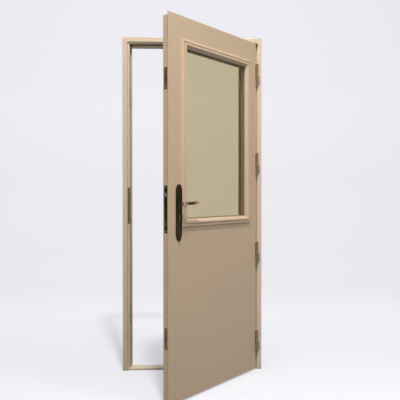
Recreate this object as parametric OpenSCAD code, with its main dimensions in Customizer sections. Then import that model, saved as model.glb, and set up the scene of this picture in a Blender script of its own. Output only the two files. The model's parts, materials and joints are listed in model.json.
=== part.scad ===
// Half-glazed steel door leaf in a double-rebated steel frame, standing partly open.
// The frame stands on the XY plane, centred on the Z axis. X runs from the lock side to the
// hinge side, and the outer face of the frame looks along -Y. Most modules are written with the
// door closed and with y = 0 on the frame's front face; in_frame() and on_leaf() place them.

/* [Frame] */
// Overall width of the frame
frame_w = 900; // [720:10:1200]
// Overall height of the frame
frame_h = 2150; // [1980:10:2600]
// Depth of the frame, front to back
frame_d = 70; // [66:1:110]
// Width of the front face of the jambs and head
face_w = 31; // [24:1:50]
// Sheet thickness of the frame
frame_t = 1.5; // [1:0.5:2]
// Bend radius on the outside of a fold
bend_r = 2; // [1.6:0.2:2.4]
// Depth of the shallow rebate that the lip closes into
step_d = 10; // [10:1:14]
// Width of the shallow rebate on the jambs
step_w = 15; // [14:1:20]
// Height of the shallow rebate on the head
head_step = 10; // [9:1:16]
// Depth of the deep rebate, measured from the front face
rebate_d = 56; // [56:1:60]
// Width of the stop on the jambs
stop_w = 12; // [11:1:20]
// Height of the stop on the head
head_stop = 16; // [11:1:20]
// Width of the folds that return towards the wall
return_w = 12; // [6:1:20]
// Height of the threshold
sill_h = 14; // [10:1:17]
// Distance of the threshold behind the front face
sill_set = 8; // [7:1:14]
// Wall of the threshold profile
sill_t = 2; // [1.5:0.5:3]
// Radius of the frame fixing holes
fixing_r = 5; // [3:0.5:6]

/* [Leaf] */
// Thickness of the leaf, lip included
leaf_t = 52; // [50:1:52]
// Thickness of the lip
lip_t = 5; // [4:0.5:6]
// Sheet thickness of the leaf skins
skin_t = 1.2; // [1:0.1:1.5]
// Gap between the lip and the frame at the lock side and the top
lip_gap = 4; // [3:0.5:5]
// Gap between the lip and the frame at the hinge side
hinge_gap = 8; // [7:0.5:9]
// Gap between the body of the leaf and the deep rebate
body_gap = 4; // [4:0.5:5]
// Gap between the body of the leaf and the threshold
sill_gap = 9; // [7:1:12]
// Gap between the lip and the floor
floor_gap = 10; // [6:1:16]
// Opening angle of the leaf as it stands
open_angle = 48; // [0:1:90]

/* [Glazing] */
// Distance from the free edge of the lip to the moulding
lock_margin = 104; // [102:1:140]
// Distance from the moulding to the hinge edge of the lip
hinge_margin = 70; // [60:1:120]
// Height of the lower edge of the moulding
mould_z = 960; // [700:10:1100]
// Distance from the upper edge of the moulding to the top of the lip
head_margin = 125; // [110:5:300]
// Width of the moulding
mould_w = 52; // [50:1:60]
// Height of the moulding above the leaf's face
mould_h = 16; // [14:1:20]
// Thickness of one pane
pane_t = 4; // [4:1:6]
// Space between the panes
pane_gap = 12; // [10:1:13]
// Depth of the outer pane behind the outer face
pane_y = 18; // [16:1:19]

/* [Lock] */
// Distance from the leaf's edge to the lever and cylinder axes
backset = 65; // [62:1:67]
// Height of the lever axis
lever_z = 1093; // [1040:1:1110]
// Distance from the lever axis down to the cylinder axis
lever_to_cylinder = 72; // [70:1:92]
// Depth of the centre of the lock behind the outer face
lock_y = 33; // [30:1:34]
// Throw of the deadbolts
bolt_throw = 20; // [15:1:22]
// Travel of the latch
latch_travel = 12.5; // [11:0.5:13]
// Height of the centre of the upper bolt
upper_bolt_z = 1765; // [1600:5:1800]
// Height of the centre of the lower bolt
lower_bolt_z = 361; // [300:1:500]
// Height of a bolt plate
bolt_plate_h = 120; // [110:1:140]

/* [Handle] */
// Width of a backplate
plate_w = 44; // [40:1:45]
// Thickness of a backplate
plate_t = 8; // [6:1:10]
// Length of a lever from its axis to its tip
lever_len = 122; // [100:1:135]
// Projection of a lever from the backplate
lever_out = 46; // [42:1:60]

/* [Hinges] */
// Number of hinges
hinge_n = 4; // [2:1:4]
// Height of the lowest hinge
hinge_z0 = 187; // [150:1:260]
// Distance from the top of the lip to the highest hinge
hinge_top = 203; // [150:1:260]
// Overall height of a hinge
hinge_h = 144; // [130:2:150]
// Radius of a hinge barrel
hinge_r = 8; // [8:0.25:8.5]
// Radius of a hinge pin
pin_r = 5; // [4:0.5:5.5]

/* [Fits] */
// Radial clearance of a turning fit
fit_run = 0.05; // [0.02:0.01:0.1]
// Clearance round a sliding bolt
fit_slide = 0.4; // [0.3:0.05:0.6]

/* [Hidden] */
$fn = 48;

eps = 0.5;
paint = [0.76, 0.68, 0.58];
steel = [0.62, 0.62, 0.6];
bronze = [0.16, 0.13, 0.09];

// Frame: the front opening, the deep rebate and the clear opening
open_x = frame_w/2 - face_w;
open_top = frame_h - face_w;
reb_x = open_x - step_w;
reb_top = open_top - head_step;
stop_x = reb_x - stop_w;
seal_t = rebate_d - leaf_t - 0.3;
seal_w = 7;
// Leaf: the lip, and the body behind it
lip_l = -(open_x - lip_gap);
lip_r = open_x - hinge_gap;
lip_top = open_top - lip_gap;
lip_bot = floor_gap;
body_x = reb_x - body_gap;
body_top = reb_top - body_gap;
body_bot = sill_h + sill_gap;
in_x = body_x - skin_t;
in_back = leaf_t - skin_t;
// Hinges
hinge_x = open_x + 1;
hinge_y = -hinge_r - 1;
hinge_zs = [for (i = [0:hinge_n - 1]) hinge_z0 + i*(lip_top - hinge_top - hinge_z0)/(hinge_n - 1)];
wing_t = 3;
wing_w = 16;
leaf_plate_t = 3;
// Glazing: the moulding's outer rectangle, and offsets from it towards the glass
mx0 = lip_l + lock_margin;
mx1 = lip_r - hinge_margin;
mz0 = mould_z;
mz1 = lip_top - head_margin;
leg_t = 6;
skin_cut = mould_w - leg_t - 2;
glass_in = mould_w - 14;
liner_in = glass_in - 2;
liner_t = 2;
gasket_in = mould_w + 3;
gasket_t = 4;
unit_t = 2*pane_t + pane_gap;
// Lock stile and hinge stile
stile_t = 1.5;
stile_w = backset + 27;
hinge_stile_w = 55;
// Lock
lock_x = -body_x + backset;
cylinder_z = lever_z - lever_to_cylinder;
plate_edge_t = 3;
case_t = 16;
case_wall = 2;
case_x1 = lock_x + 23;
case_z0 = cylinder_z - 61;
case_z1 = lever_z + 67;
face_z0 = cylinder_z - 89;
face_z1 = lever_z + 96;
face_plate_w = 24;
latch_h = 22;
latch_z = lever_z + 46;
latch_t = 11;
dead_h = 30;
dead_z = cylinder_z - 34;
rod_w = 8;
rod_t = 3;
rod_x = lock_x - 27;
rod_y = lock_y + case_t/2 - case_wall - rod_t - 0.5;
rod_end = 25;
small_case_h = 110;
small_case_x1 = rod_x + rod_w/2 + 6;
small_bolt_h = 36;
hub_r = 10;
hub_arm = 22;
spindle_a = 8;
lever_turn = 40;
neck_r = 9;
plug_r = 6.5;
cyl_r = 8.5;
cyl_leg = 10;
cyl_h = 33;
cyl_out = 9;
cam_t = 10;
cam_r = 14;
screw_z = [lever_z + 80, cylinder_z - 108];
screw_r = 3;

// ---- Placing ----

module in_frame() translate([0, -frame_d/2, 0]) children();

module on_leaf()
    in_frame() translate([hinge_x, hinge_y, 0]) rotate(open_angle) translate([-hinge_x, -hinge_y, 0])
        children();

// Extrudes a shape drawn in x and z from depth y0 to depth y1
module slab(y0, y1)
    translate([0, y1, 0]) rotate([90, 0, 0]) linear_extrude(y1 - y0) children();

// Extrudes a shape drawn in y and z from x0 to x1
module bar(x0, x1)
    translate([x0, 0, 0]) rotate([90, 0, 90]) linear_extrude(x1 - x0) children();

module block(x0, x1, y0, y1, z0, z1)
    translate([x0, y0, z0]) cube([x1 - x0, y1 - y0, z1 - z0]);

module bore_y(x, z, y0, y1, r)
    translate([x, y0, z]) rotate([-90, 0, 0]) cylinder(h = y1 - y0, r = r);

module bore_x(x0, x1, y, z, r)
    translate([x0, y, z]) rotate([0, 90, 0]) cylinder(h = x1 - x0, r = r);

// A rectangular ring round the glass, from inset a to inset b inside the moulding's rectangle
module glass_ring(a, b, y0, y1)
    difference() {
        block(mx0 + a, mx1 - a, y0, y1, mz0 + a, mz1 - a);
        block(mx0 + b, mx1 - b, y0 - eps, y1 + eps, mz0 + b, mz1 - b);
    }

// ---- Folded sheet ----

function unit(v) = v/norm(v);
function turn(v) = [-v[1], v[0]];

// Rounds each inner corner of a path with short chords
function round_path(p, r, n = 3) = [
    for (i = [0:len(p) - 1])
        let (ends = i == 0 || i == len(p) - 1)
        if (ends) p[i]
        else
            let (a = unit(p[i - 1] - p[i]), b = unit(p[i + 1] - p[i]), c = p[i] + (a + b)*r)
            for (k = [0:n]) c - r*(b*cos(90*k/n) + a*sin(90*k/n))
];

// The same path moved sideways by t, with mitred corners
function beside(p, t) = [
    for (i = [0:len(p) - 1])
        let (u = i == 0 ? unit(p[1] - p[0]) : unit(p[i] - p[i - 1]),
             v = i == len(p) - 1 ? u : unit(p[i + 1] - p[i]),
             m = turn(u) + turn(v))
        p[i] + m*t/(1 + u*v)
];

function flip(p) = [for (i = [len(p) - 1:-1:0]) p[i]];

// Outline of a sheet folded along a path
module folded(path, t, r) {
    p = round_path(path, r);
    polygon(concat(p, flip(beside(p, t))));
}

// Visible surface of a frame member: distance in from the outer edge, then depth
function frame_path(step, stop) = [
    [0, return_w], [0, 0], [face_w, 0], [face_w, step_d], [face_w + step, step_d],
    [face_w + step, rebate_d], [face_w + step + stop, rebate_d],
    [face_w + step + stop, frame_d], [0, frame_d], [0, frame_d - return_w]
];

module frame_profile(step, stop) folded(frame_path(step, stop), frame_t, bend_r);

// Everything that a jamb encloses, for cutting what butts against it
module jamb_envelopes()
    for (s = [0, 1]) mirror([s, 0, 0]) translate([-frame_w/2, 0, -1])
        linear_extrude(frame_h + 2) polygon(round_path(frame_path(step_w, stop_w), bend_r));

// ---- Frame ----

// Heights and depth of the fixing holes in each jamb
fixing_z = [frame_h*0.12, frame_h*0.88];
fixing_y = (step_d + rebate_d)/2;

module jamb_blank() {
    difference() {
        linear_extrude(frame_h) translate([-frame_w/2, 0]) frame_profile(step_w, stop_w);
        for (z = fixing_z)
            bore_x(-reb_x - frame_t - eps, -reb_x + eps, fixing_y, z, fixing_r);
    }
}

module left_jamb()
    color(paint) in_frame() difference() {
        jamb_blank();
        pocket(latch_z, latch_h + 3, -eps);
        pocket(dead_z, dead_h + 3, -eps);
        for (z = [upper_bolt_z, lower_bolt_z]) pocket(z, small_bolt_h + 3, -eps);
    }

// Opening in the rebate side for a bolt
module pocket(z, h, y)
    block(-reb_x - frame_t - eps, -reb_x + eps, lock_y - latch_t/2 - 2, lock_y + latch_t/2 + 2,
          z - h/2, z + h/2);

module right_jamb() color(paint) in_frame() mirror([1, 0, 0]) jamb_blank();

module frame_head()
    color(paint) in_frame() difference() {
        bar(-open_x - 5, open_x + 5) translate([0, frame_h]) mirror([0, 1])
            mirror([1, -1]) frame_profile(head_step, head_stop);
        jamb_envelopes();
    }

module threshold()
    color([0.8, 0.74, 0.66]) in_frame() difference() {
        bar(-open_x - 5, open_x + 5) difference() {
            polygon([[sill_set, 0], [sill_set, sill_h - 3], [sill_set + 3, sill_h],
                     [frame_d, sill_h], [frame_d, 0]]);
            translate([sill_set + sill_t + 2, sill_t])
                square([frame_d - sill_set - 2*sill_t - 2, sill_h - 2*sill_t]);
        }
        jamb_envelopes();
    }

module frame_seal()
    color([0.25, 0.22, 0.18]) in_frame() {
        x = reb_x - 2;
        difference() {
            block(-x, x, rebate_d - seal_t, rebate_d, sill_h, reb_top - 2);
            block(-x + seal_w, x - seal_w, rebate_d - seal_t - eps, rebate_d + eps,
                  sill_h - eps, reb_top - 2 - seal_w);
        }
    }

// Plug that closes the hinge-side gap at its upper end, with a small flange on the jamb's face
module gap_plug()
    color([0.1, 0.09, 0.08]) in_frame() {
        z0 = lip_top - 22;
        block(lip_r + 1, open_x, -2, step_d - 2.5, z0, z0 + 21);
        block(open_x - eps, open_x + 5, -2, 0, z0, z0 + 21);
    }

// ---- Strikes ----

strike_t = 2;
strike_w = 26;
strike_z0 = latch_z - 188;
strike_z1 = latch_z + 46;

module strike_hole(z, h)
    block(-reb_x - eps, -reb_x + strike_t + eps, lock_y - latch_t/2 - 1, lock_y + latch_t/2 + 1,
          z - h/2, z + h/2);

function strike_screws_at(z0, z1) = [z0 + 12, z1 - 12];

module screw_seat(z) bore_x(-reb_x - eps, -reb_x + strike_t + eps, lock_y, z, 2.1);

module main_strike()
    color(bronze) in_frame() difference() {
        union() {
            block(-reb_x, -reb_x + strike_t, step_d - strike_t, rebate_d - 8, strike_z0, strike_z1);
            block(-open_x + 2, -reb_x + strike_t, step_d - strike_t, step_d, strike_z0, strike_z1);
        }
        strike_hole(latch_z, latch_h + 2);
        strike_hole(dead_z, dead_h + 2);
        for (z = strike_screws_at(strike_z0, strike_z1)) screw_seat(z);
    }

module small_strike(z)
    color(bronze) in_frame() difference() {
        block(-reb_x, -reb_x + strike_t, lock_y - strike_w/2, lock_y + strike_w/2,
              z - bolt_plate_h/2, z + bolt_plate_h/2);
        strike_hole(z, small_bolt_h + 2);
        for (s = strike_screws_at(z - bolt_plate_h/2, z + bolt_plate_h/2)) screw_seat(s);
    }

module upper_strike() small_strike(upper_bolt_z);
module lower_strike() small_strike(lower_bolt_z);

// Pan-head screw with its axis along x, head towards +x, seated at x = 0
module screw_x(r, l, head_r, head_t)
    rotate([0, 90, 0]) {
        translate([0, 0, -l]) cylinder(h = l, r = r);
        cylinder(h = head_t, r1 = head_r, r2 = head_r*0.8);
    }

module strike_screws()
    color(steel) in_frame()
        for (z = concat(strike_screws_at(strike_z0, strike_z1),
                        strike_screws_at(upper_bolt_z - bolt_plate_h/2, upper_bolt_z + bolt_plate_h/2),
                        strike_screws_at(lower_bolt_z - bolt_plate_h/2, lower_bolt_z + bolt_plate_h/2)))
            translate([-reb_x + strike_t, lock_y, z]) screw_x(2, strike_t - 0.1, 3.6, 1);

// ---- Hinges: a lift-off pair of barrels each, the lower one on the frame ----

half_h = hinge_h/2 - 1;
washer_t = 2;

// Barrel that starts at its joint face and ends in a low dome
module barrel(h)
    rotate_extrude() polygon(concat(
        [[0, 0], [hinge_r, 0], [hinge_r, h - 3]],
        [for (a = [15:15:75]) [hinge_r - 3 + 3*cos(a), h - 3 + 3*sin(a)]],
        [[hinge_r - 3, h], [0, h]]));

module frame_half()
    difference() {
        union() {
            mirror([0, 0, 1]) barrel(half_h);
            translate([0, -hinge_y - wing_t, -half_h + 8]) rotate([90, 0, 0]) mirror([0, 0, 1])
                linear_extrude(wing_t)
                    polygon([[0, 0], [wing_w - 5, 0], [wing_w, 6], [wing_w, half_h - 18],
                             [wing_w - 4, half_h - 12], [0, half_h - 12]]);
            block(-2, 6, 0, -hinge_y, -half_h + 8, -4);
        }
        translate([0, 0, -half_h + 12]) cylinder(h = half_h, r = pin_r);
        for (z = frame_screw_z) translate([wing_w - 4.5, 0, z]) rotate([-90, 0, 0])
            cylinder(h = -hinge_y + 1, r = 1.6);
    }

frame_screw_z = [-half_h + 20, -half_h + 46];

module hinge_frame_halves()
    color([0.5, 0.43, 0.33]) in_frame()
        for (z = hinge_zs) translate([hinge_x, hinge_y, z - washer_t/2]) frame_half();

module hinge_pins()
    color(steel) in_frame()
        for (z = hinge_zs) translate([hinge_x, hinge_y, z - washer_t/2 - half_h + 12])
            cylinder(h = 2*half_h - 24, r = pin_r);

module hinge_washers()
    color("goldenrod") in_frame()
        for (z = hinge_zs) translate([hinge_x, hinge_y, z - washer_t/2]) difference() {
            cylinder(h = washer_t, r = hinge_r - 0.5);
            translate([0, 0, -eps]) cylinder(h = washer_t + 2*eps, r = pin_r + fit_run);
        }

module hinge_frame_screws()
    color(steel) in_frame()
        for (z = hinge_zs, s = frame_screw_z)
            translate([hinge_x + wing_w - 4.5, -wing_t, z - washer_t/2 + s]) rotate([0, 0, -90])
                screw_x(1.5, wing_t - 0.1, 2.9, 1);

// Leaf half: the upper barrel, a cranked arm that goes round the lip's edge with a little
// clearance, and a plate on the hinge edge of the body
leaf_half_z = 6;
arm_t = 3;
arm_x = lip_r + 0.5;
arm_y = lip_t + 0.6;
plate_y1 = leaf_t - 6;
leaf_screw_z = [16, 56];

module leaf_half()
    difference() {
        union() {
            barrel(half_h);
            translate([-hinge_x, -hinge_y, leaf_half_z]) linear_extrude(half_h - leaf_half_z - 4)
                polygon([[body_x, arm_y], [body_x, plate_y1], [body_x + leaf_plate_t, plate_y1],
                         [body_x + leaf_plate_t, arm_y + arm_t], [arm_x + arm_t, arm_y + arm_t],
                         [arm_x + arm_t, -2], [hinge_x - 2, hinge_y + 6], [hinge_x - 6, hinge_y + 1],
                         [arm_x, hinge_y + 4], [arm_x, arm_y]]);
        }
        translate([0, 0, -eps]) cylinder(h = half_h - 12 + 1, r = pin_r + fit_run);
        for (z = leaf_screw_z, y = [lip_t + 18, plate_y1 - 7])
            translate([-hinge_x, -hinge_y, 0])
                bore_x(body_x - 1, body_x + leaf_plate_t + 1, y, z, 2.1);
    }

module hinge_leaf_halves()
    color([0.5, 0.43, 0.33]) on_leaf()
        for (z = hinge_zs) translate([hinge_x, hinge_y, z + washer_t/2]) leaf_half();

module hinge_leaf_screws()
    color(steel) on_leaf()
        for (z = hinge_zs, s = leaf_screw_z, y = [lip_t + 18, plate_y1 - 7])
            translate([body_x + leaf_plate_t, y, z + washer_t/2 + s]) screw_x(2, leaf_plate_t - 0.1, 3.4, 0.8);

// ---- Leaf skins, stiles and core ----

// Holes through the stile and skins for the spindle, the cylinder and the plate screws
module lock_holes(y0, y1) {
    bore_y(lock_x, lever_z, y0, y1, hub_r + 1);
    slab(y0, y1) profile_cylinder(1);
    for (z = screw_z) bore_y(lock_x, z, y0, y1, screw_r + 0.5);
}

// Edge openings for the faceplate and the two bolt plates
module edge_openings(x0, x1) {
    block(x0, x1, lock_y - face_plate_w/2, lock_y + face_plate_w/2, face_z0, face_z1);
    for (z = [upper_bolt_z, lower_bolt_z])
        block(x0, x1, lock_y - face_plate_w/2, lock_y + face_plate_w/2,
              z - bolt_plate_h/2, z + bolt_plate_h/2);
}

module leaf_outer_skin()
    color(paint) on_leaf() difference() {
        union() {
            block(lip_l, lip_r, 0, lip_t, lip_bot, lip_top);
            block(-body_x, body_x, lip_t/2, leaf_t, body_bot, body_top);
        }
        block(-in_x, in_x, skin_t, leaf_t + eps, body_bot + skin_t, body_top - skin_t);
        block(lip_l + skin_t, lip_r - skin_t, skin_t, lip_t - skin_t, lip_bot + skin_t, lip_top - skin_t);
        block(mx0 + skin_cut, mx1 - skin_cut, -eps, skin_t + eps, mz0 + skin_cut, mz1 - skin_cut);
        lock_holes(-eps, skin_t + eps);
        edge_openings(-body_x - eps, -in_x + eps);
    }

flange = 10;

module leaf_inner_skin()
    color(paint) on_leaf() difference() {
        block(-in_x, in_x, leaf_t - flange, leaf_t, body_bot + skin_t, body_top - skin_t);
        block(-in_x + skin_t, in_x - skin_t, leaf_t - flange - eps, in_back,
              body_bot + 2*skin_t, body_top - 2*skin_t);
        block(mx0 + liner_in, mx1 - liner_in, in_back - eps, leaf_t + eps, mz0 + liner_in, mz1 - liner_in);
        lock_holes(in_back - eps, leaf_t + eps);
        // The flange is cut away behind the lock's plates
        edge_openings(-in_x - eps, -in_x + skin_t + eps);
    }

module stile(x0, x1, web_x)
    difference() {
        block(x0, x1, skin_t, in_back, body_bot + 2*skin_t, body_top - 2*skin_t);
        block(x0 - eps + (web_x == x0 ? stile_t + eps : 0), x1 + eps - (web_x == x1 ? stile_t + eps : 0),
              skin_t + stile_t, in_back - stile_t, body_bot, body_top);
    }

module lock_stile()
    color(steel) on_leaf() difference() {
        x0 = -in_x + skin_t;
        stile(x0, x0 + stile_w, x0 + stile_w);
        lock_holes(0, leaf_t);
    }

module hinge_stile()
    color(steel) on_leaf() {
        x1 = in_x - skin_t;
        stile(x1 - hinge_stile_w, x1, x1 - hinge_stile_w);
    }

core_x0 = -in_x + skin_t + stile_w;
core_x1 = in_x - skin_t - hinge_stile_w;

module leaf_core()
    color([0.85, 0.8, 0.6]) on_leaf() difference() {
        block(core_x0, core_x1, skin_t, in_back, body_bot + 2*skin_t, body_top - 2*skin_t);
        liner_out = liner_in - liner_t;
        block(mx0 + liner_out, mx1 - liner_out, 0, leaf_t, mz0 + liner_out, mz1 - liner_out);
    }

module glazing_liner()
    color(steel) on_leaf() glass_ring(liner_in - liner_t, liner_in, skin_t, in_back);

module bottom_seal()
    color([0.12, 0.12, 0.12]) on_leaf() union() {
        block(-in_x, in_x, lock_y - 6, lock_y + 6, body_bot - 3, body_bot);
        block(-in_x, in_x, lock_y - 1.5, lock_y + 1.5, sill_h + 0.5, body_bot - 2);
    }

// ---- Glazing ----

// Section of the moulding: distance in from its outer edge, then height above the face
function arc(cx, cy, r, a0, a1, n) = [for (i = [0:n]) let (a = a0 + (a1 - a0)*i/n) [cx + r*cos(a), cy + r*sin(a)]];

bead_h = mould_h - 3;
groove_h = mould_h/2;
crest_in = 24;
crest_r = 3;
slope_end = -3;
function moulding_section(leg) = concat(
    [[0, 0], [0, 3]],
    arc(bead_h - 3, 3, bead_h - 3, 180, 90, 5),
    arc(bead_h - 1, bead_h - 2, 2, 90, 0, 2),
    arc(crest_in - crest_r - 2.5, groove_h + 2.5, 2.5, 200, 340, 4),
    arc(crest_in, mould_h - crest_r, crest_r, 170, 60, 4),
    [[mould_w - 16, mould_h - 6.5], [mould_w - 8, 2.5], [mould_w - 3, 0], [mould_w, slope_end],
     [mould_w, -leg], [mould_w - leg_t, -leg], [mould_w - leg_t, 0]]);

// A mitred length of moulding on the x axis, its outer edge at z = 0 and standing towards -y
module mitred(l, leg)
    intersection() {
        bar(-l/2, l/2) mirror([1, 0]) mirror([1, -1]) polygon(moulding_section(leg));
        slab(-mould_h - 1, leg + 1)
            polygon([[-l/2, 0], [l/2, 0], [l/2 - mould_w, mould_w], [-l/2 + mould_w, mould_w]]);
    }

module moulding_set(side, leg) {
    cx = (mx0 + mx1)/2;
    cz = (mz0 + mz1)/2;
    if (side == "bottom") translate([cx, 0, mz0]) mitred(mx1 - mx0, leg);
    if (side == "top") translate([cx, 0, mz1]) rotate([0, 180, 0]) mitred(mx1 - mx0, leg);
    if (side == "left") translate([mx0, 0, cz]) rotate([0, 90, 0]) mitred(mz1 - mz0, leg);
    if (side == "right") translate([mx1, 0, cz]) rotate([0, -90, 0]) mitred(mz1 - mz0, leg);
}

outer_leg = pane_y - gasket_t;
inner_leg = leaf_t - pane_y - unit_t - gasket_t;

module outer_moulding(side) color(paint) on_leaf() moulding_set(side, outer_leg);
module inner_moulding(side)
    color(paint) on_leaf() translate([0, leaf_t, 0]) mirror([0, 1, 0]) moulding_set(side, inner_leg);

module outer_moulding_bottom() outer_moulding("bottom");
module outer_moulding_top() outer_moulding("top");
module outer_moulding_left() outer_moulding("left");
module outer_moulding_right() outer_moulding("right");
module inner_moulding_bottom() inner_moulding("bottom");
module inner_moulding_top() inner_moulding("top");
module inner_moulding_left() inner_moulding("left");
module inner_moulding_right() inner_moulding("right");

// Glass gasket: a strip between moulding and pane, and a lip that lines the moulding's edge
module gasket(y_pane, dir) {
    y_leg = y_pane - dir*gasket_t;
    y_lip = y_pane - dir*(gasket_t + 3);
    glass_ring(glass_in + 2, gasket_in, min(y_pane, y_leg), max(y_pane, y_leg));
    glass_ring(mould_w, mould_w + 2, min(y_leg, y_lip), max(y_leg, y_lip));
}

module outer_gasket() color([0.2, 0.15, 0.1]) on_leaf() gasket(pane_y, 1);
module inner_gasket() color([0.2, 0.15, 0.1]) on_leaf() gasket(pane_y + unit_t, -1);

module pane(y)
    color([0.78, 0.74, 0.6]) on_leaf()
        block(mx0 + glass_in, mx1 - glass_in, y, y + pane_t, mz0 + glass_in, mz1 - glass_in);

module outer_pane() pane(pane_y);
module inner_pane() pane(pane_y + pane_t + pane_gap);

module glass_spacer()
    color([0.55, 0.55, 0.55]) on_leaf()
        glass_ring(glass_in + 3, glass_in + 10, pane_y + pane_t, pane_y + pane_t + pane_gap);

module setting_blocks()
    color([0.15, 0.15, 0.15]) on_leaf()
        for (x = [mx0 + 120, mx1 - 120])
            block(x - 40, x + 40, pane_y, pane_y + unit_t, mz0 + liner_in, mz0 + glass_in);

// ---- Lock ----

// Outline of a profile cylinder round its key axis, enlarged all round by g
module profile_cylinder(g = 0)
    translate([lock_x, cylinder_z]) {
        circle(cyl_r + g);
        translate([-cyl_leg/2 - g, cyl_r - cyl_h - g]) square([cyl_leg + 2*g, cyl_h - cyl_r + g]);
    }

module lock_case()
    color(steel) on_leaf() difference() {
        block(-body_x + plate_edge_t, case_x1, lock_y - case_t/2, lock_y + case_t/2, case_z0, case_z1);
        block(-body_x + plate_edge_t + case_wall, case_x1 - case_wall,
              lock_y - case_t/2 + case_wall, lock_y + case_t/2 - case_wall,
              case_z0 + case_wall, case_z1 - case_wall);
        bolt_hole(latch_z, latch_h, latch_t);
        bolt_hole(dead_z, dead_h, latch_t);
        bore_y(lock_x, lever_z, lock_y - case_t, lock_y + case_t, hub_r + fit_run);
        slab(lock_y - case_t, lock_y + case_t) profile_cylinder(0.5);
        rod_slot(case_z0 - eps, case_z0 + case_wall + eps);
        rod_slot(case_z1 - case_wall - eps, case_z1 + eps);
    }

// Opening in a case's front wall, and in the plate before it, for a bolt
module bolt_hole(z, h, t)
    block(-body_x - eps, -body_x + plate_edge_t + case_wall + eps,
          lock_y - t/2 - fit_slide, lock_y + t/2 + fit_slide,
          z - h/2 - fit_slide, z + h/2 + fit_slide);

module rod_slot(z0, z1)
    block(rod_x - rod_w/2 - fit_slide, rod_x + rod_w/2 + fit_slide,
          rod_y - fit_slide, rod_y + rod_t + fit_slide, z0, z1);

edge_screw_r = 2.1;

module edge_plate(z0, z1)
    difference() {
        block(-body_x, -body_x + plate_edge_t, lock_y - face_plate_w/2, lock_y + face_plate_w/2, z0, z1);
        for (z = [z0 + 9, z1 - 9])
            bore_x(-body_x - eps, -body_x + plate_edge_t + eps, lock_y, z, edge_screw_r);
    }

module lock_faceplate()
    color(bronze) on_leaf() difference() {
        edge_plate(face_z0, face_z1);
        bolt_hole(latch_z, latch_h, latch_t);
        bolt_hole(dead_z, dead_h, latch_t);
    }

module bolt_plate(z)
    color([0.3, 0.2, 0.12]) on_leaf() difference() {
        edge_plate(z - bolt_plate_h/2, z + bolt_plate_h/2);
        bolt_hole(z, small_bolt_h, latch_t);
    }

module upper_bolt_plate() bolt_plate(upper_bolt_z);
module lower_bolt_plate() bolt_plate(lower_bolt_z);

// Small case behind a bolt plate, open to the rod on the side facing the lock
module small_case(z, rod_side)
    color(steel) on_leaf() difference() {
        block(-body_x + plate_edge_t, small_case_x1, lock_y - case_t/2, lock_y + case_t/2,
              z - small_case_h/2 + 5, z + small_case_h/2 - 5);
        block(-body_x + plate_edge_t + case_wall, small_case_x1 - case_wall,
              lock_y - case_t/2 + case_wall, lock_y + case_t/2 - case_wall,
              z - small_case_h/2 + 5 + case_wall, z + small_case_h/2 - 5 - case_wall);
        bolt_hole(z, small_bolt_h, latch_t);
        edge = z + rod_side*(small_case_h/2 - 5);
        rod_slot(edge - case_wall - eps, edge + case_wall + eps);
    }

module upper_bolt_case() small_case(upper_bolt_z, -1);
module lower_bolt_case() small_case(lower_bolt_z, 1);

module edge_screws()
    color(steel) on_leaf()
        for (z = [face_z0 + 9, face_z1 - 9,
                  upper_bolt_z - bolt_plate_h/2 + 9, upper_bolt_z + bolt_plate_h/2 - 9,
                  lower_bolt_z - bolt_plate_h/2 + 9, lower_bolt_z + bolt_plate_h/2 - 9])
            translate([-body_x, lock_y, z]) mirror([1, 0, 0]) screw_x(2, plate_edge_t - 0.1, 3.6, 0.8);

// Latch: a bevelled head, and a tail with a tab that the hub's arm pushes
module latch_bolt()
    color([0.7, 0.68, 0.62]) on_leaf() {
        y0 = lock_y - latch_t/2;
        head_x1 = -body_x + 16;
        translate([0, 0, latch_z - latch_h/2]) linear_extrude(latch_h)
            polygon([[-body_x - latch_travel + 1, y0 + latch_t], [-body_x - latch_travel + 1, y0 + latch_t - 2],
                     [-body_x, y0], [head_x1, y0], [head_x1, y0 + latch_t]]);
        block(head_x1 - eps, lock_x + 8, y0, y0 + 3, latch_z - latch_h/2, latch_z - latch_h/2 + 8);
        block(lock_x + 5, lock_x + 8, y0, y0 + 3, lever_z + 13, latch_z - latch_h/2 + 4);
    }

// Deadbolts, flush with their plates
module throw_bolt(z, h)
    block(-body_x, -body_x + 30, lock_y - latch_t/2, lock_y + latch_t/2, z - h/2, z + h/2);

module deadbolt() color(steel) on_leaf() throw_bolt(dead_z, dead_h);
module upper_bolt() color(steel) on_leaf() throw_bolt(upper_bolt_z, small_bolt_h);
module lower_bolt() color(steel) on_leaf() throw_bolt(lower_bolt_z, small_bolt_h);

// Rods that run from the lock case to the small cases
module rod(z0, z1)
    color(steel) on_leaf() block(rod_x - rod_w/2, rod_x + rod_w/2, rod_y, rod_y + rod_t, z0, z1);

module upper_rod() rod(case_z1 - rod_end, upper_bolt_z - small_case_h/2 + 9);
module lower_rod() rod(lower_bolt_z + small_case_h/2 - 9, case_z0 + rod_end);

module lever_hub()
    color(steel) on_leaf() difference() {
        union() {
            bore_y(lock_x, lever_z, lock_y - case_t/2, lock_y + case_t/2, hub_r);
            block(lock_x - 3, lock_x + 3, lock_y - latch_t/2, lock_y - latch_t/2 + 3,
                  lever_z, lever_z + hub_arm);
        }
        block(lock_x - spindle_a/2, lock_x + spindle_a/2, 0, leaf_t,
              lever_z - spindle_a/2, lever_z + spindle_a/2);
    }

module lever_spindle()
    color(steel) on_leaf()
        block(lock_x - spindle_a/2, lock_x + spindle_a/2, -plate_t - 18, leaf_t + plate_t + 18,
              lever_z - spindle_a/2, lever_z + spindle_a/2);

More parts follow.
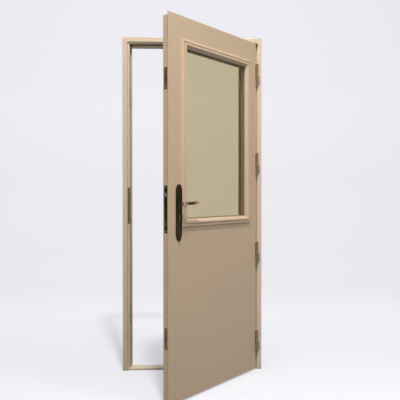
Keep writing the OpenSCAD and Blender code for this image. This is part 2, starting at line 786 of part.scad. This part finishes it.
module cylinder_body()
    color([0.6, 0.55, 0.45]) on_leaf() difference() {
        slab(-cyl_out, leaf_t + cyl_out) profile_cylinder();
        bore_y(lock_x, cylinder_z, -cyl_out - eps, leaf_t + cyl_out + eps, plug_r + fit_run);
        block(lock_x - cyl_r - 1, lock_x + cyl_r + 1, lock_y - cam_t/2 - 0.3, lock_y + cam_t/2 + 0.3,
              cylinder_z - cam_r - 3, cylinder_z + cyl_r + 1);
    }

// Plug with its keyway at the outer end, its cam in the middle and a stem to the thumbturn
module cylinder_plug()
    color([0.75, 0.68, 0.5]) on_leaf() difference() {
        union() {
            bore_y(lock_x, cylinder_z, -cyl_out - 1, leaf_t + cyl_out, plug_r);
            bore_y(lock_x, cylinder_z, lock_y - cam_t/2, lock_y + cam_t/2, cyl_r - 1);
            block(lock_x - 3, lock_x + 3, lock_y - cam_t/2, lock_y + cam_t/2, cylinder_z - cam_r, cylinder_z);
        }
        block(lock_x - 0.9, lock_x + 0.9, -cyl_out - 2, 14, cylinder_z - 4, cylinder_z + 4.5);
    }

module thumbturn()
    color(bronze) on_leaf() union() {
        bore_y(lock_x, cylinder_z, leaf_t + cyl_out, leaf_t + cyl_out + 6, 10);
        block(lock_x - 4, lock_x + 4, leaf_t + cyl_out + 4, leaf_t + cyl_out + 24,
              cylinder_z - 13, cylinder_z + 13);
    }

// ---- Handles ----

plate_z0 = cylinder_z - 134;
plate_z1 = lever_z + 104;

// Long plate with shouldered, pointed ends
module plate_outline() {
    w = plate_w/2;
    translate([lock_x, 0]) polygon([
        [-w, plate_z0 + 40], [-w + 3, plate_z0 + 28], [-w + 9, plate_z0 + 12], [-4, plate_z0],
        [4, plate_z0], [w - 9, plate_z0 + 12], [w - 3, plate_z0 + 28], [w, plate_z0 + 40],
        [w, plate_z1 - 34], [w - 3, plate_z1 - 20], [w - 10, plate_z1 - 7], [5, plate_z1],
        [-5, plate_z1], [-w + 10, plate_z1 - 7], [-w + 3, plate_z1 - 20], [-w, plate_z1 - 34]]);
}

module backplate(y0, y1)
    color(bronze) on_leaf() difference() {
        slab(y0, y1) plate_outline();
        bore_y(lock_x, lever_z, y0 - eps, y1 + eps, neck_r + fit_run);
        slab(y0 - eps, y1 + eps) profile_cylinder(0.3);
        for (z = screw_z) bore_y(lock_x, z, y0 - eps, y1 + eps, screw_r + 0.1);
    }

module outer_backplate() backplate(-plate_t, 0);
module inner_backplate() backplate(leaf_t, leaf_t + plate_t);

module backplate_screws()
    color(bronze) on_leaf()
        for (z = screw_z) {
            bore_y(lock_x, z, -plate_t - 1.5, -plate_t, 5);
            bore_y(lock_x, z, -plate_t - 1, leaf_t + plate_t + 1, screw_r);
            bore_y(lock_x, z, leaf_t + plate_t, leaf_t + plate_t + 1.5, 5);
        }

// Lever written for the outer side: a neck on the axis, then a grip towards the hinges
grip_y = -plate_t - lever_out + 8;

module grip_ball(x, r_y, z, r_z)
    translate([x, grip_y, z]) scale([1, r_y/r_z, 1]) sphere(r = r_z, $fn = 24);

module lever_shape()
    translate([lock_x, 0, lever_z]) difference() {
        union() {
            bore_y(0, 0, grip_y, 0, neck_r);
            hull() {
                grip_ball(0, 8, 0, 9.5);
                grip_ball(34, 7, 1, 9);
            }
            hull() {
                grip_ball(34, 7, 1, 9);
                grip_ball(80, 6.5, -1, 9.5);
            }
            hull() {
                grip_ball(80, 6.5, -1, 9.5);
                grip_ball(lever_len - 9, 6.5, 1, 9);
            }
        }
        block(-spindle_a/2, spindle_a/2, -plate_t - 18, 1, -spindle_a/2, spindle_a/2);
    }

module outer_lever() color(bronze) on_leaf() lever_shape();
module inner_lever() color(bronze) on_leaf() translate([0, leaf_t, 0]) mirror([0, 1, 0]) lever_shape();

left_jamb();
right_jamb();
frame_head();
threshold();
frame_seal();
gap_plug();
main_strike();
upper_strike();
lower_strike();
strike_screws();
hinge_frame_halves();
hinge_pins();
hinge_washers();
hinge_frame_screws();
leaf_outer_skin();
leaf_inner_skin();
lock_stile();
hinge_stile();
leaf_core();
glazing_liner();
outer_moulding_bottom();
outer_moulding_top();
outer_moulding_left();
outer_moulding_right();
inner_moulding_bottom();
inner_moulding_top();
inner_moulding_left();
inner_moulding_right();
outer_gasket();
inner_gasket();
outer_pane();
inner_pane();
glass_spacer();
setting_blocks();
bottom_seal();
lock_case();
lock_faceplate();
upper_bolt_case();
lower_bolt_case();
upper_bolt_plate();
lower_bolt_plate();
edge_screws();
cylinder_body();
outer_backplate();
inner_backplate();
backplate_screws();
hinge_leaf_halves();
hinge_leaf_screws();
outer_lever();
inner_lever();
lever_spindle();
lever_hub();
latch_bolt();
deadbolt();
upper_bolt();
lower_bolt();
upper_rod();
lower_rod();
cylinder_plug();
thumbturn();
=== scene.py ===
import json
import math

import bpy
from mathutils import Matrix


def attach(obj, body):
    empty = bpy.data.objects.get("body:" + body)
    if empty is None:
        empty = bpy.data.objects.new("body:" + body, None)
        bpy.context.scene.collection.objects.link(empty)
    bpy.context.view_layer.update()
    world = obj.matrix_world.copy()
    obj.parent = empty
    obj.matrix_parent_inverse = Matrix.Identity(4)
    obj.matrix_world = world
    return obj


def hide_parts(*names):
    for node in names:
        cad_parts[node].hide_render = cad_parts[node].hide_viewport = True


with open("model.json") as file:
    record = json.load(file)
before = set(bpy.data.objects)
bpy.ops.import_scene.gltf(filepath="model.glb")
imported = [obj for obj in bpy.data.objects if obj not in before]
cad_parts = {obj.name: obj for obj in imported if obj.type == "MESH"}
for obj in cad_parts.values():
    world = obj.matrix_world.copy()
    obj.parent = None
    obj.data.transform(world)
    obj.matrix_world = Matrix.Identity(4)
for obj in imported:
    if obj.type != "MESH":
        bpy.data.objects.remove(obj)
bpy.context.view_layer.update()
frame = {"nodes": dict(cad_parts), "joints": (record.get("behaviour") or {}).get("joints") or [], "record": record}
node = frame["nodes"]


# Paint on the frame: satin beige enamel, sprayed on the folded sheet steel.
# The spray leaves a faint, fine ripple and slight cloudiness. Later sections use the same
# two tools to mix their own finishes.
class Value:
    """A number or colour that leaves a node, with arithmetic that adds Math nodes."""

    def __init__(self, tree, socket):
        self.tree = tree
        self.socket = socket

    def _math(self, operation, a, b):
        maths = self.tree.nodes.new("ShaderNodeMath")
        maths.operation = operation
        for place, term in enumerate((a, b)):
            if isinstance(term, Value):
                self.tree.links.new(term.socket, maths.inputs[place])
            else:
                maths.inputs[place].default_value = term
        return Value(self.tree, maths.outputs[0])

    def __add__(self, other):
        return self._math("ADD", self, other)

    def __radd__(self, other):
        return self._math("ADD", other, self)

    def __sub__(self, other):
        return self._math("SUBTRACT", self, other)

    def __rsub__(self, other):
        return self._math("SUBTRACT", other, self)

    def __mul__(self, other):
        return self._math("MULTIPLY", self, other)


class Finish:
    """A material whose nodes are added one after another."""

    def __init__(self, name, **constants):
        self.material = bpy.data.materials.new(name)
        self.material.use_nodes = True
        self.tree = self.material.node_tree
        self.surface = self.tree.nodes["Principled BSDF"]
        for socket, value in constants.items():
            self.surface.inputs[socket.replace("_", " ")].default_value = value
        self.place = self.add("ShaderNodeTexCoord", out="Object")

    def add(self, kind, settings=None, out=0, **sockets):
        made = self.tree.nodes.new(kind)
        for key, value in (settings or {}).items():
            if key == "stops":
                ramp = made.color_ramp.elements
                while len(ramp) < len(value):
                    ramp.new(0.5)
                for stop, (at, colour) in zip(ramp, value):
                    stop.position = at
                    stop.color = colour
            else:
                setattr(made, key, value)
        for key, value in sockets.items():
            name = key.replace("_", " ")
            numbered = name[0] == "i" and name[1:].isdigit()
            socket = made.inputs[int(name[1:]) if numbered else name]
            if isinstance(value, Value):
                self.tree.links.new(value.socket, socket)
            else:
                socket.default_value = value
        return Value(self.tree, made.outputs[out])

    def feed(self, **sockets):
        for key, value in sockets.items():
            self.tree.links.new(value.socket, self.surface.inputs[key.replace("_", " ")])
        return self

    def noise(self, scale, detail=2.0, roughness=0.5):
        return self.add("ShaderNodeTexNoise", Vector=self.place, Scale=scale, Detail=detail,
                        Roughness=roughness)

    def between(self, amount, dark, light):
        """A colour that goes from dark to light as amount goes from 0 to 1."""
        return self.add("ShaderNodeMix", {"data_type": "RGBA"}, out=2, i0=amount, i6=dark, i7=light)

    def ripple(self, height, strength, distance):
        return self.feed(Normal=self.add("ShaderNodeBump", Height=height, Strength=strength,
                                         Distance=distance))


def rgb(r, g, b):
    """A colour given as 0-255 steps of a paint chart, as linear light."""
    return tuple(((c / 255 + 0.055) / 1.055) ** 2.4 for c in (r, g, b)) + (1.0,)


def coat(material, *names):
    for name in names:
        node[name].data.materials.clear()
        node[name].data.materials.append(material)


def soften(name, finish, edge, fold=30.0, steps=2):
    """Stands a copy of a piece in its place, with its edges rounded off by the given width."""
    bpy.ops.object.select_all(action="DESELECT")
    piece = node[name].copy()
    piece.data = node[name].data.copy()
    for key in [k for k in piece.keys() if k.startswith("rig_")]:
        del piece[key]
    piece.parent = None
    piece.name = name + "_finished"
    bpy.context.scene.collection.objects.link(piece)
    bpy.context.view_layer.objects.active = piece
    piece.select_set(True)
    if piece.data.has_custom_normals:
        bpy.ops.mesh.customdata_custom_splitnormals_clear()
    bpy.ops.object.mode_set(mode="EDIT")
    bpy.ops.mesh.select_all(action="SELECT")
    bpy.ops.mesh.remove_doubles(threshold=0.00001)
    bpy.ops.mesh.dissolve_limited(angle_limit=math.radians(0.5))
    bpy.ops.object.mode_set(mode="OBJECT")
    if edge:
        rounding = piece.modifiers.new("rounding", "BEVEL")
        rounding.width = edge
        rounding.segments = steps
        rounding.limit_method = "ANGLE"
        rounding.angle_limit = math.radians(fold)
        rounding.use_clamp_overlap = True
        bpy.ops.object.modifier_apply(modifier="rounding")
    bpy.ops.object.shade_smooth_by_angle(angle=math.radians(fold + 5.0))
    flat = piece.modifiers.new("flat_faces", "WEIGHTED_NORMAL")
    flat.keep_sharp = True
    bpy.ops.object.modifier_apply(modifier="flat_faces")
    piece.data.materials.clear()
    piece.data.materials.append(finish)
    body = next(b for b, members in frame["record"]["behaviour"]["bodies"].items() if name in members)
    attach(piece, body)
    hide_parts(name)


def paint(name, dark, light, roughness):
    mix = Finish(name, Roughness=roughness, Coat_Weight=0.12, Coat_Roughness=0.3)
    cloud = mix.noise(3.0, 3.0)
    mix.feed(Base_Color=mix.between(cloud, dark, light),
             Roughness=roughness - 0.05 + cloud * 0.1)
    mix.ripple(mix.noise(900.0), 0.06, 0.0002)
    return mix.material


frame_paint = paint("frame_beige", rgb(213, 193, 166), rgb(219, 200, 174), 0.42)
for part in ("left_jamb", "right_jamb", "frame_head", "threshold"):
    soften(part, frame_paint, 0.0004)

# Paint on the leaf: the same enamel over its two folded skins of sheet steel.
# The leaf's copy of it is set darker and warmer than the frame's, as painted shade.
# The skins are lapped round the core and stiles, so their edges are only slightly rounded.
shaded_leaf_paint = paint("shaded_leaf_beige", rgb(205, 179, 148), rgb(211, 186, 155), 0.40)
for part in ("leaf_outer_skin", "leaf_inner_skin"):
    soften(part, shaded_leaf_paint, 0.0005)

# Glazing mouldings: drawn lengths of painted moulding, mitred and joined into a frame on each
# side of the pane. The section has a bead, a groove, a raised crest and a cove to the glass.
swing = next(joint for joint in frame["joints"] if joint["name"] == "door_swing")
opened = -math.radians(swing["range_deg"][0])
hinge_x, hinge_y = swing["pos_m"][:2]
FACE_Y, LEAF_THICK = -0.035, 0.052
GLAZED = (-0.311, 0.341, 0.960, 1.990)
BEAD = [(9.0 - 9.0 * math.cos(a), 2.5 + 9.0 * math.sin(a)) for a in
        [math.radians(step * 12.0) for step in range(8)]]
CREST = [(24.5 - 4.5 * math.cos(a), 11.5 + 4.5 * math.sin(a)) for a in
         [math.radians(step * 18.0) for step in range(6)]]
MOULDING = ([(0.0, 0.0)] + BEAD + [(10.6, 11.2), (11.8, 10.2), (12.4, 8.2), (13.2, 6.8), (14.8, 6.2),
            (17.2, 6.2), (19.0, 7.2), (19.9, 9.2)] + CREST + [(28.0, 15.9), (30.6, 15.0), (32.8, 13.0),
            (35.4, 9.6), (38.6, 5.8), (41.8, 2.4), (44.2, -0.2), (46.0, -3.0)])


def opened_out(x, y, z):
    """Where a point of the closed leaf stands when the leaf is open as shown."""
    across, along = x - hinge_x, y - hinge_y
    return (hinge_x + across * math.cos(opened) - along * math.sin(opened),
            hinge_y + across * math.sin(opened) + along * math.cos(opened), z)


def open_with_leaf(piece):
    piece.rotation_euler = (0.0, 0.0, opened)
    piece.location = opened_out(0.0, 0.0, 0.0)
    bpy.ops.object.transform_apply(location=True, rotation=True, scale=True)


def mitred_frame(name, section, face_y, outward, finish, nodes):
    """A frame drawn in from the glazing's outer edge through the points of a section, given in
    millimetres as the distance in from that edge and the height above the leaf's face."""
    bpy.ops.object.select_all(action="DESELECT")
    half_x, half_z = (GLAZED[1] - GLAZED[0]) / 2, (GLAZED[3] - GLAZED[2]) / 2
    middle_x, middle_z = GLAZED[0] + half_x, GLAZED[2] + half_z
    sizes = [(half_x - inset / 1000, face_y + outward * height / 1000, half_z - inset / 1000)
             for inset, height in section + section[:1]]
    bpy.ops.mesh.primitive_plane_add(size=2.0, location=(middle_x, sizes[0][1], middle_z),
                                     rotation=(math.pi / 2, 0.0, 0.0))
    piece = bpy.context.active_object
    piece.name = name
    piece.scale = (sizes[0][0], sizes[0][2], 1.0)
    bpy.ops.object.transform_apply(location=True, rotation=True, scale=True)
    bpy.ops.object.mode_set(mode="EDIT")
    bpy.ops.mesh.select_all(action="SELECT")
    bpy.ops.mesh.delete(type="ONLY_FACE")
    bpy.ops.mesh.select_all(action="SELECT")
    for (x0, y0, z0), (x, y, z) in zip(sizes, sizes[1:]):
        bpy.ops.mesh.extrude_region_move(TRANSFORM_OT_translate={"value": (0.0, y - y0, 0.0)})
        bpy.ops.transform.resize(value=(x / x0, 1.0, z / z0), center_override=(middle_x, y, middle_z))
    bpy.ops.mesh.select_all(action="SELECT")
    bpy.ops.mesh.remove_doubles(threshold=0.00001)
    bpy.ops.mesh.normals_make_consistent(inside=False)
    bpy.ops.object.mode_set(mode="OBJECT")
    open_with_leaf(piece)
    bpy.ops.object.shade_smooth_by_angle(angle=math.radians(32.0))
    flat = piece.modifiers.new("flat_faces", "WEIGHTED_NORMAL")
    flat.keep_sharp = True
    bpy.ops.object.modifier_apply(modifier="flat_faces")
    piece.data.materials.append(finish)
    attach(piece, "leaf")
    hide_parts(*nodes)


# On each side: the face it lies on, the way it stands out, and how far its leg reaches in.
for side, face_y, outward, leg in (("outer", FACE_Y, -1.0, -14.0),
                                   ("inner", FACE_Y + LEAF_THICK, 1.0, -10.0)):
    mitred_frame(side + "_moulding", MOULDING + [(46.0, leg), (44.5, leg), (44.5, 0.0)], face_y, outward,
                 shaded_leaf_paint, [f"{side}_moulding_{place}" for place in
                                            ("bottom", "top", "left", "right")])

# Seals: the frame seal is extruded in a beige rubber near the paint's colour and pushed into
# place. The bottom seal and setting blocks are black rubber. The small plug is dark brown as painted shade.
def moulded(name, dark, light):
    mix = Finish(name, Roughness=0.65)
    mix.feed(Base_Color=mix.between(mix.noise(60.0), dark, light))
    return mix.ripple(mix.noise(1500.0), 0.15, 0.0002).material


black_rubber = moulded("black_rubber", rgb(42, 36, 30), rgb(56, 50, 42))
coat(black_rubber, "bottom_seal", "setting_blocks")
# Painted shade: the plug's dark brown stands in for the shade in the gap at the top hinge corner.
gap_shade_rubber = moulded("gap_shade_rubber", rgb(82, 68, 46), rgb(98, 84, 60))
coat(gap_shade_rubber, "gap_plug")
beige_rubber = moulded("beige_rubber", rgb(196, 182, 150), rgb(206, 193, 162))
coat(beige_rubber, "frame_seal")

# Glazing gaskets: umber rubber, a foot pressed between moulding and pane with a lip that lines
# the edge of the moulding down to the glass. The lip's dark umber in the reveal is painted shade.
gasket_and_reveal_shade_rubber = moulded("gasket_and_reveal_shade_rubber", rgb(124, 106, 80), rgb(140, 122, 94))
for side, face_y, outward, foot in (("outer", FACE_Y, -1.0, -18.0),
                                    ("inner", FACE_Y + LEAF_THICK, 1.0, -14.0)):
    mitred_frame(side + "_gasket_finished", [
        (44.6, foot), (44.6, foot + 3.8), (46.1, foot + 3.8), (46.1, -4.6), (46.6, -4.0), (47.2, -4.2),
        (47.5, -4.8), (47.6, foot + 4.4), (48.2, foot + 3.4), (49.2, foot + 2.4), (49.6, foot + 1.2),
        (49.2, foot)], face_y, outward, gasket_and_reveal_shade_rubber, [side + "_gasket"])

# Strikes and bolt plates: pressed steel. The strikes are lacquered olive brown, and the plates
# a warmer brown. The bolts behind them carry a darker lacquer on their ends.
def lacquer(name, dark, light, metal):
    mix = Finish(name, Roughness=0.38, Coat_Weight=0.2, Metallic=metal)
    mix.feed(Base_Color=mix.between(mix.noise(40.0, 4.0), dark, light))
    return mix.ripple(mix.noise(700.0), 0.05, 0.0002).material


olive_lacquer = lacquer("olive_lacquer", rgb(104, 86, 58), rgb(122, 102, 72), 0.2)
for part in ("main_strike", "upper_strike", "lower_strike"):
    soften(part, olive_lacquer, 0.0004)
brown_lacquer = lacquer("brown_lacquer", rgb(104, 72, 38), rgb(122, 88, 50), 0.2)
for part in ("upper_bolt_plate", "lower_bolt_plate"):
    soften(part, brown_lacquer, 0.0004)
dark_lacquer = lacquer("dark_lacquer", rgb(72, 52, 34), rgb(90, 66, 44), 0.4)
for part in ("upper_bolt", "lower_bolt", "deadbolt"):
    soften(part, dark_lacquer, 0.0008)

# Hinges: turned steel barrels with welded wings, lacquered grey-brown.
# One half is screwed to the frame and the other to the leaf.
hinge_finish = Finish("hinge_lacquer", Roughness=0.35, Metallic=0.4)
hinge_finish.feed(Base_Color=hinge_finish.between(hinge_finish.noise(30.0, 3.0), rgb(128, 108, 82),
                                                  rgb(148, 128, 102)))
hinge_finish.ripple(hinge_finish.noise(800.0), 0.05, 0.0002)
for part in ("hinge_frame_halves", "hinge_leaf_halves"):
    soften(part, hinge_finish.material, 0.0004)

# Fasteners, pins and hidden steelwork: zinc-plated steel with fine turning marks.
# The latch, the rods and the cases of the lock have the same plating.
zinc = Finish("zinc_plate", Roughness=0.35, Metallic=1.0)
zinc.feed(Base_Color=zinc.between(zinc.noise(120.0), rgb(150, 146, 138), rgb(176, 172, 164)))
zinc.ripple(zinc.noise(2500.0), 0.1, 0.0001)
coat(zinc.material, "strike_screws", "hinge_frame_screws", "hinge_leaf_screws", "edge_screws",
     "hinge_pins", "lock_stile", "hinge_stile", "glazing_liner", "lock_case", "upper_bolt_case",
     "lower_bolt_case", "lever_spindle", "lever_hub", "upper_rod", "lower_rod", "latch_bolt")

# Core: rigid foam, sawn to fill the leaf between its stiles.
# It is glued to both skins and is never seen.
foam = Finish("foam", Roughness=0.9)
foam.feed(Base_Color=foam.between(foam.noise(400.0), rgb(205, 190, 150), rgb(225, 212, 175)))
foam.ripple(foam.noise(600.0), 0.4, 0.0005)
coat(foam.material, "leaf_core")

# Cylinder and hinge washers: turned brass, bright on the washers.
# The cylinder's ends are handled, so its brass has aged to brown.
brass = Finish("brass", Roughness=0.3, Metallic=1.0)
brass.feed(Base_Color=brass.between(brass.noise(90.0), rgb(168, 146, 98), rgb(190, 168, 118)))
coat(brass.material, "hinge_washers")
aged_brass = Finish("aged_brass", Roughness=0.32, Metallic=1.0)
aged_brass.feed(Base_Color=aged_brass.between(aged_brass.noise(90.0), rgb(88, 74, 50), rgb(112, 96, 66)))
coat(aged_brass.material, "cylinder_body", "cylinder_plug")

# Backplates and faceplate: pressed zinc and steel, finished in nearly black bronze and lacquered.
# The thumbturn and the screws that clamp the plates through the leaf have the same finish.
bronze = Finish("dark_bronze", Metallic=0.95, Coat_Weight=0.1, Coat_Roughness=0.1)
wear = bronze.noise(25.0, 4.0)
bronze.feed(Base_Color=bronze.between(wear, rgb(50, 43, 26), rgb(68, 58, 38)),
            Roughness=0.24 + wear * 0.14)
soften("lock_faceplate", bronze.material, 0.0004)
for part in ("outer_backplate", "inner_backplate"):
    soften(part, bronze.material, 0.0028, steps=5)
for part in ("thumbturn", "backplate_screws"):
    soften(part, bronze.material, 0.0005)

# Levers: cast zinc, one on each side of the leaf, in the same bronze, with painted highlights:
# the colour is lighter at the root and the tip. A swelling grip is drawn out from a round neck in the backplate.
AXIS_X, AXIS_Z, PLATE_THICK = -0.335, 1.093, 0.008
GRIP_Y = FACE_Y - 0.046
GRIP = ((-10.5, 0.0, 3.5, 4.5), (-9.0, 0.0, 6.6, 8.0), (-5.0, 0.0, 8.4, 9.8), (2.0, 0.0, 8.8, 10.4),
        (12.0, 0.0, 8.6, 9.8), (24.0, -0.2, 8.0, 8.8), (38.0, -0.6, 7.4, 8.2), (54.0, -0.6, 7.0, 8.2),
        (70.0, 0.0, 6.8, 9.0), (85.0, 0.6, 6.6, 9.8), (100.0, 1.0, 6.4, 10.4), (110.0, 1.2, 6.2, 10.2),
        (116.5, 1.2, 5.4, 8.8), (120.5, 1.2, 4.0, 6.2), (122.0, 1.2, 2.2, 3.4))


def sheen_painted_bronze(name, root, tip):
    mix = Finish(name, Metallic=0.95, Coat_Weight=0.2, Coat_Roughness=0.08)
    patches = mix.noise(60.0, 3.0)
    # Painted highlights: the base colour lightens near the root and the tip, mixed with random patches.
    near_root = 1.0 - mix.add("ShaderNodeVectorMath", {"operation": "DISTANCE"}, out="Value",
                              i0=mix.place, i1=root) * 38.0
    near_tip = 1.35 - mix.add("ShaderNodeVectorMath", {"operation": "DISTANCE"}, out="Value",
                              i0=mix.place, i1=tip) * 30.0
    bright = mix.add("ShaderNodeMath", {"operation": "MAXIMUM"}, i0=near_root, i1=near_tip)
    highlight_and_patches = mix.add("ShaderNodeClamp", Value=bright * 1.1 + patches * 0.4 - 0.2)
    mix.feed(Base_Color=mix.between(highlight_and_patches, rgb(66, 50, 32), rgb(208, 176, 142)),
             Roughness=0.20 + patches * 0.10)
    return mix.material


def cast_lever(name, inside):
    bpy.ops.object.select_all(action="DESELECT")
    x, lift, deep, tall = GRIP[0]
    bpy.ops.mesh.primitive_circle_add(vertices=24, radius=0.001, fill_type="NGON",
                                      location=(AXIS_X + x / 1000, GRIP_Y, AXIS_Z),
                                      rotation=(0.0, math.pi / 2, 0.0))
    lever = bpy.context.active_object
    lever.name = name + "_finished"
    bpy.ops.object.transform_apply(location=True, rotation=True, scale=True)
    bpy.ops.object.mode_set(mode="EDIT")
    bpy.ops.mesh.select_all(action="SELECT")
    bpy.ops.transform.resize(value=(1.0, deep, tall), center_override=(AXIS_X + x / 1000, GRIP_Y, AXIS_Z))
    for (x0, lift0, deep0, tall0), (x, lift, deep, tall) in zip(GRIP, GRIP[1:]):
        bpy.ops.mesh.extrude_region_move(
            TRANSFORM_OT_translate={"value": ((x - x0) / 1000, 0.0, (lift - lift0) / 1000)})
        bpy.ops.transform.resize(value=(1.0, deep / deep0, tall / tall0),
                                 center_override=(AXIS_X + x / 1000, GRIP_Y, AXIS_Z + lift / 1000))
    bpy.ops.mesh.select_all(action="DESELECT")
    for radius, y0, y1 in ((0.0085, GRIP_Y, FACE_Y - 0.002),
                           (0.0115, FACE_Y - PLATE_THICK - 0.004, FACE_Y - PLATE_THICK + 0.001)):
        bpy.ops.mesh.primitive_cylinder_add(vertices=40, radius=radius, depth=y1 - y0,
                                            location=(AXIS_X, (y0 + y1) / 2, AXIS_Z),
                                            rotation=(math.pi / 2, 0.0, 0.0))
    bpy.ops.mesh.select_all(action="SELECT")
    bpy.ops.mesh.normals_make_consistent(inside=False)
    bpy.ops.object.mode_set(mode="OBJECT")
    cast = lever.modifiers.new("cast", "REMESH")
    cast.mode = "VOXEL"
    cast.voxel_size = 0.0008
    bpy.ops.object.modifier_apply(modifier="cast")
    polish = lever.modifiers.new("polish", "SMOOTH")
    polish.iterations = 5
    bpy.ops.object.modifier_apply(modifier="polish")
    if inside:
        lever.scale = (1.0, -1.0, 1.0)
        lever.location = (0.0, 2.0 * FACE_Y + LEAF_THICK, 0.0)
        bpy.ops.object.transform_apply(location=True, rotation=False, scale=True)
        bpy.ops.object.mode_set(mode="EDIT")
        bpy.ops.mesh.select_all(action="SELECT")
        bpy.ops.mesh.normals_make_consistent(inside=False)
        bpy.ops.object.mode_set(mode="OBJECT")
    open_with_leaf(lever)
    bpy.ops.object.shade_smooth()
    grip_y = 2.0 * FACE_Y + LEAF_THICK - GRIP_Y if inside else GRIP_Y
    lever.data.materials.append(sheen_painted_bronze("sheen_painted_bronze_" + name, opened_out(AXIS_X, grip_y, AXIS_Z),
                                            opened_out(AXIS_X + 0.112, grip_y, AXIS_Z)))
    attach(lever, "lever")
    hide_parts(name)


cast_lever("outer_lever", False)
cast_lever("inner_lever", True)

# Spacer between the panes: a folded strip with a pale satin coating.
# It is bonded to both panes round their edge.
spacer = Finish("spacer_satin", Roughness=0.5)
spacer.feed(Base_Color=spacer.between(spacer.noise(80.0), rgb(206, 196, 174), rgb(216, 206, 186)))
spacer.ripple(spacer.noise(1800.0), 0.1, 0.0001)
coat(spacer.material, "glass_spacer")

# Panes: warm-tinted float glass, two to the sealed unit.
# Both are bonded to the spacer and held between the gaskets.
glass = Finish("tinted_glass", Roughness=0.0, IOR=1.5, Transmission_Weight=1.0)
glass.feed(Base_Color=glass.between(glass.noise(2.0), rgb(236, 228, 206), rgb(238, 230, 208)))
coat(glass.material, "outer_pane", "inner_pane")

# Studio: a pale floor that sweeps up into a pale wall, far behind the door. It glows by itself,
# so that it stays bright behind the piece without washing out the shade on it.
bpy.ops.object.select_all(action="DESELECT")
bpy.ops.mesh.primitive_plane_add(size=1.0)
sweep = bpy.context.active_object
sweep.name = "studio_floor"
sweep.scale = (40.0, 16.0, 1.0)
sweep.location = (0.0, -2.0, -0.0005)
bpy.ops.object.transform_apply(location=True, rotation=False, scale=True)
bpy.ops.object.mode_set(mode="EDIT")
bpy.ops.mesh.select_mode(type="EDGE")
bpy.ops.mesh.select_all(action="DESELECT")
bpy.ops.object.mode_set(mode="OBJECT")
for side in sweep.data.edges:
    side.select = all(sweep.data.vertices[v].co.y > 5.0 for v in side.vertices)
bpy.ops.object.mode_set(mode="EDIT")
bpy.ops.mesh.extrude_region_move(TRANSFORM_OT_translate={"value": (0.0, 0.0, 16.0)})
bpy.ops.object.mode_set(mode="OBJECT")
bend = sweep.modifiers.new("bend", "BEVEL")
bend.width = 3.0
bend.segments = 24
bend.limit_method = "ANGLE"
bpy.ops.object.modifier_apply(modifier="bend")
bpy.ops.object.shade_smooth()
ground = Finish("studio_grey", Roughness=1.0, Specular_IOR_Level=0.0, Emission_Strength=1.0)
away = ground.add("ShaderNodeSeparateXYZ", out="Y", Vector=ground.place)
height = Value(ground.tree, away.socket.node.outputs["Z"])
# The glow is graded: dimmest on the floor in front of and round the door, brighter far behind and brightest up the
# wall. This is painted shade near the door and painted light behind it.
ground.feed(Base_Color=ground.between(ground.noise(0.5), rgb(190, 190, 194), rgb(192, 192, 196)),
            Emission_Color=ground.add("ShaderNodeValToRGB", {"stops": [
                (0.0, rgb(162, 162, 168)), (0.2, rgb(186, 186, 192)), (0.55, rgb(189, 189, 195)),
                (0.8, rgb(200, 199, 205)), (1.0, rgb(215, 214, 220))]}, Fac=away * 0.12 + height * 0.1))
sweep.data.materials.append(ground.material)
sweep.visible_diffuse = False

# Studio light: a warm fill that grows stronger overhead, and five soft panels. The key hangs
# high in front, and the others lift the shade on the sides and under the mouldings.
FILL_LEVEL, FILL_RISE = 0.10, 0.43
world = bpy.data.worlds.new("studio")
bpy.context.scene.world = world
world.use_nodes = True
sky = world.node_tree
above = Value(sky, sky.nodes.new("ShaderNodeSeparateXYZ").outputs["Z"])
sky.links.new(sky.nodes.new("ShaderNodeTexCoord").outputs["Generated"], above.socket.node.inputs[0])
sky.links.new((above * FILL_RISE + FILL_LEVEL).socket, sky.nodes["Background"].inputs["Strength"])
sky.nodes["Background"].inputs["Color"].default_value = (1.0, 0.96, 0.90, 1.0)


def softbox(name, place, aim, size, watts):
    light = bpy.data.objects.new(name, bpy.data.lights.new(name, "AREA"))
    light.data.shape = "RECTANGLE"
    light.data.size, light.data.size_y = size
    light.data.energy = watts
    light.location = place
    back = light.location.copy()
    for axis in range(3):
        back[axis] -= aim[axis]
    light.rotation_mode = "QUATERNION"
    light.rotation_quaternion = back.to_track_quat("Z", "Y")
    bpy.context.scene.collection.objects.link(light)
    # Seen from behind, a panel would otherwise show through the glass as a bright square.
    light.visible_transmission = False


softbox("key", (0.2, -3.0, 6.2), (0.0, -0.1, 1.3), (0.4, 0.4), 215.0)
softbox("overhead", (-0.2, -1.4, 3.8), (-0.1, -0.5, 1.0), (0.25, 0.25), 7.0)
softbox("front", (0.5, -2.9, 2.4), (0.0, 0.0, 1.6), (1.2, 0.8), 10.0)
softbox("left", (-2.0, -2.8, 1.8), (0.0, -0.2, 1.3), (1.0, 1.4), 25.0)
softbox("right", (2.6, -2.2, 1.8), (0.0, -0.2, 1.3), (1.0, 1.4), 29.0)

# Camera: at eye height in front of the doorway, a little to the left of its middle, turned
# slightly to the right and almost level.
TILT_DOWN, TURN_RIGHT = 0.746, 2.39
camera = bpy.data.objects.new("camera", bpy.data.cameras.new("camera"))
camera.data.sensor_width = 36.0
camera.data.lens = 49.3
camera.location = (-0.0987, -3.5785, 1.1499)
camera.rotation_euler = (math.radians(90.0 - TILT_DOWN), 0.0, math.radians(-TURN_RIGHT))
bpy.context.scene.collection.objects.link(camera)
bpy.context.scene.camera = camera
bpy.context.scene.view_settings.view_transform = "Standard"
